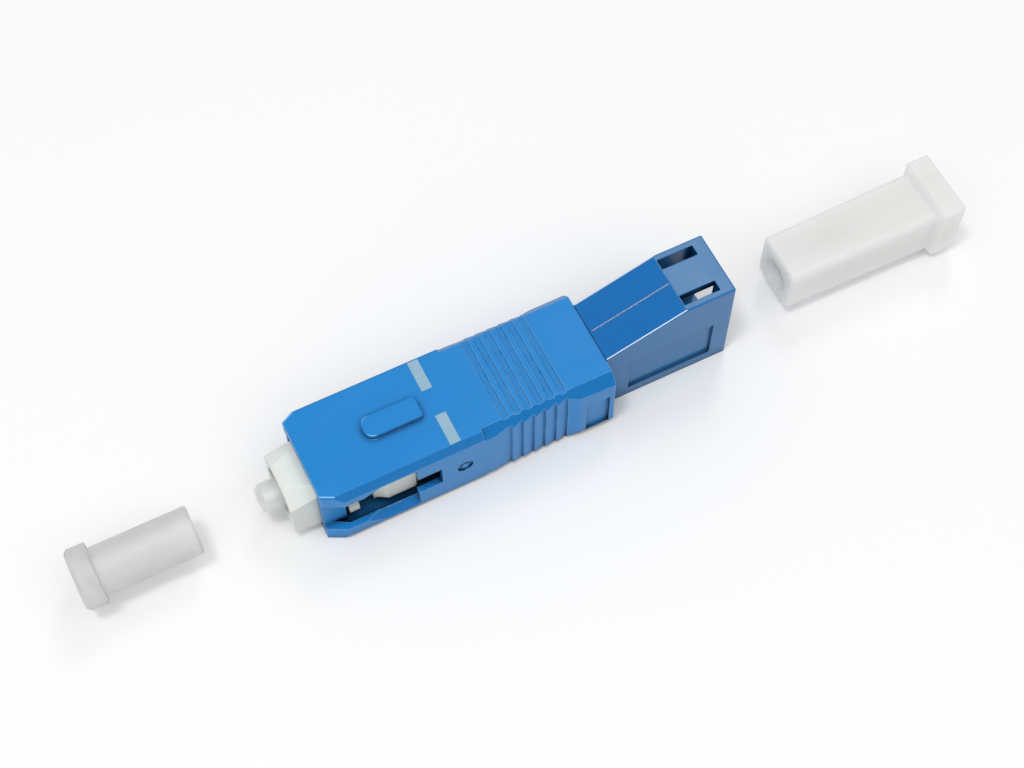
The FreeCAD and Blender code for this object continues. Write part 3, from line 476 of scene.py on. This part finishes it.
# Soft clear plastic with a frosted skin, greyer in the solid head of the cap
def clear_cap():
    material, tree, shader = fresh("clear_cap")
    surface = use(tree, MOULDED, Grain_per_mm=3.0, Dust=0.0)
    edges = use(tree, EDGES, Radius=0.00016, Rub=0.4)
    marks = use(tree, MARKS, Level=0.42, Spread=0.14)
    colour = blended(tree, surface.outputs["Flow"], (0.98, 0.98, 0.98, 1.0), (0.95, 0.95, 0.95, 1.0))
    along = place(tree, "ShaderNodeSeparateXYZ")
    join(tree, millimetres(tree), along.inputs["Vector"])
    head = ranged(tree, along.outputs["X"], CAP_HEAD_REAR, CAP_HEAD_REAR - CAP_HEAD_BLEND, 0.0, 1.0)
    colour = blended(tree, head, colour, (0.89, 0.89, 0.89, 1.0))
    skin(tree, shader, colour, marks, edges, surface.outputs["Height"], 0.5, 0.00002)
    shader.inputs["Transmission Weight"].default_value = 0.62
    shader.inputs["IOR"].default_value = 1.48
    soak(shader, 0.6, (1.0, 1.0, 1.0), 0.0016)
    return material


# Bare silica fibre, seen only as a dot in the ferrule's face
def fibre_glass():
    material, tree, shader = fresh("fibre_glass")
    rings = use(tree, RINGS, Rings_per_mm=2.0)
    colour = blended(tree, rings.outputs["Tone"], (0.80, 0.86, 0.88, 1.0), (0.72, 0.80, 0.84, 1.0))
    join(tree, colour, shader.inputs["Base Color"])
    marks = use(tree, MARKS, Level=0.06, Spread=0.04)
    join(tree, marks.outputs["Roughness"], shader.inputs["Roughness"])
    shader.inputs["Transmission Weight"].default_value = 0.7
    shader.inputs["IOR"].default_value = 1.46
    return material


FINISHES = {
    "outer_housing": blue_shell(),
    "port_housing": blue_port(),
    "plug_frame": white_frame(),
    "ferrule": white_ceramic(),
    "ferrule_holder": turned_metal(
        "plated_metal", (0.66, 0.65, 0.62, 1.0), (0.58, 0.57, 0.55, 1.0),
        gloss=0.28, rings_per_mm=9.0, depth=0.000006),
    "glass_fibre": fibre_glass(),
    "ferrule_spring": turned_metal(
        "spring_steel", (0.56, 0.57, 0.59, 1.0), (0.44, 0.45, 0.47, 1.0),
        gloss=0.24, rings_per_mm=16.0, depth=0.000003),
    "ferrule_cap": clear_cap(),
    "port_plug": milky_plug(),
}
FINISHES["inner_ferrule"] = FINISHES["ferrule"]
FINISHES["split_sleeve"] = FINISHES["ferrule"]
FINISHES["sleeve_holder"] = FINISHES["port_housing"]


def dress(thing, material):
    thing.data.materials.clear()
    thing.data.materials.append(material)


def new_piece(name, mesh, material):
    shape = bpy.data.meshes.new(name)
    mesh.to_mesh(shape)
    mesh.free()
    thing = bpy.data.objects.new(name, shape)
    bpy.context.scene.collection.objects.link(thing)
    dress(thing, material)
    return thing


for name, material in FINISHES.items():
    dress(nodes[name], material)


# A printed strip: a thin film with clipped corners, lying on the housing's top face
def index_strip(name, low_y, high_y, material):
    mesh = bmesh.new()
    bmesh.ops.create_cube(mesh, size=1.0)
    size = Vector((STRIP_END - STRIP_START, high_y - low_y, STRIP_THICK)) * MM
    centre = Vector((STRIP_END + STRIP_START, high_y + low_y, 2.0 * STRIP_FACE + STRIP_THICK)) * 0.5 * MM
    bmesh.ops.scale(mesh, vec=size, verts=mesh.verts)
    bmesh.ops.translate(mesh, vec=centre, verts=mesh.verts)
    half_thick = 0.5 * STRIP_THICK * MM
    upright = [edge for edge in mesh.edges if abs(edge.verts[0].co.z - edge.verts[1].co.z) > half_thick]
    bmesh.ops.bevel(
        mesh, geom=upright, offset=STRIP_CORNER * MM, affect="EDGES", segments=3, profile=0.5, material=-1)
    bmesh.ops.recalc_face_normals(mesh, faces=mesh.faces)
    strip = new_piece(name, mesh, material)
    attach(strip, "push_pull_housing")


STRIP_PAINT = index_print()
index_strip("index_strip_near", -STRIP_OUTER, -STRIP_INNER, STRIP_PAINT)
index_strip("index_strip_far", STRIP_INNER, STRIP_OUTER, STRIP_PAINT)


# The coil spring behind the ferrule: it stands for the solid one
def coil_spring(name, node, material):
    low, high = (Vector(corner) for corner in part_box(node))
    wire = SPRING_WIRE * MM
    steps = SPRING_TURNS * SPRING_STEPS
    rise = (high.x - low.x - 2.0 * wire) / steps
    mesh = bmesh.new()
    bmesh.ops.create_circle(mesh, cap_ends=False, radius=wire, segments=SPRING_SIDES)
    bmesh.ops.translate(mesh, vec=(low.x + wire, high.y - wire, 0.0), verts=mesh.verts)
    bmesh.ops.spin(
        mesh, geom=mesh.verts[:] + mesh.edges[:], cent=(0.0, 0.0, 0.0), axis=(1.0, 0.0, 0.0),
        dvec=(rise, 0.0, 0.0), angle=2.0 * math.pi * SPRING_TURNS, steps=steps, use_merge=False)
    bmesh.ops.holes_fill(mesh, edges=[edge for edge in mesh.edges if edge.is_boundary], sides=0)
    bmesh.ops.recalc_face_normals(mesh, faces=mesh.faces)
    spring = new_piece(name, mesh, material)
    faces = spring.data.polygons
    faces.foreach_set("use_smooth", [len(face.vertices) == 4 for face in faces])
    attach(spring, "adapter_body")
    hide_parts(node)
    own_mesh(spring)


coil_spring("ferrule_spring_coil", "ferrule_spring", FINISHES["ferrule_spring"])


# White sweep under the part
def white_floor():
    mesh = bmesh.new()
    bmesh.ops.create_grid(mesh, x_segments=1, y_segments=1, size=FLOOR_REACH)
    bmesh.ops.translate(mesh, vec=(0.0, 0.0, FLOOR_LEVEL), verts=mesh.verts)
    material, _, shader = fresh("white_floor")
    shader.inputs["Base Color"].default_value = FLOOR_WHITE
    shader.inputs["Roughness"].default_value = FLOOR_DULLNESS
    shader.inputs["Specular IOR Level"].default_value = 0.0
    floor = new_piece("white_floor", mesh, material)


white_floor()


# Soft box: a lamp panel that looks at the middle of the part
def soft_box(name, toward, size, power):
    lamp = bpy.data.lights.new(name, "AREA")
    lamp.shape = "RECTANGLE"
    lamp.size = size[0]
    lamp.size_y = size[1]
    lamp.energy = power
    panel = bpy.data.objects.new(name, lamp)
    bpy.context.scene.collection.objects.link(panel)
    centre = Vector(LIGHT_AIM)
    panel.location = centre + Vector(toward).normalized() * LIGHT_DISTANCE
    panel.rotation_euler = (centre - panel.location).to_track_quat("-Z", "Y").to_euler()


for name, lamp in LAMPS.items():
    soft_box(name, **lamp)

world = bpy.data.worlds.new("even_room")
world.use_nodes = True
world.node_tree.nodes["Background"].inputs["Color"].default_value = ROOM_GREY
bpy.context.scene.world = world

lens = bpy.data.cameras.new("camera")
lens.lens = CAMERA_LENS
lens.sensor_width = SENSOR_WIDTH
lens.clip_start = CAMERA_NEAR
camera = bpy.data.objects.new("camera", lens)
camera.location = CAMERA_PLACE
camera.rotation_euler = tuple(math.radians(angle) for angle in CAMERA_TURN)
bpy.context.scene.collection.objects.link(camera)
bpy.context.scene.camera = camera
bpy.context.scene.view_settings.view_transform = "Standard"
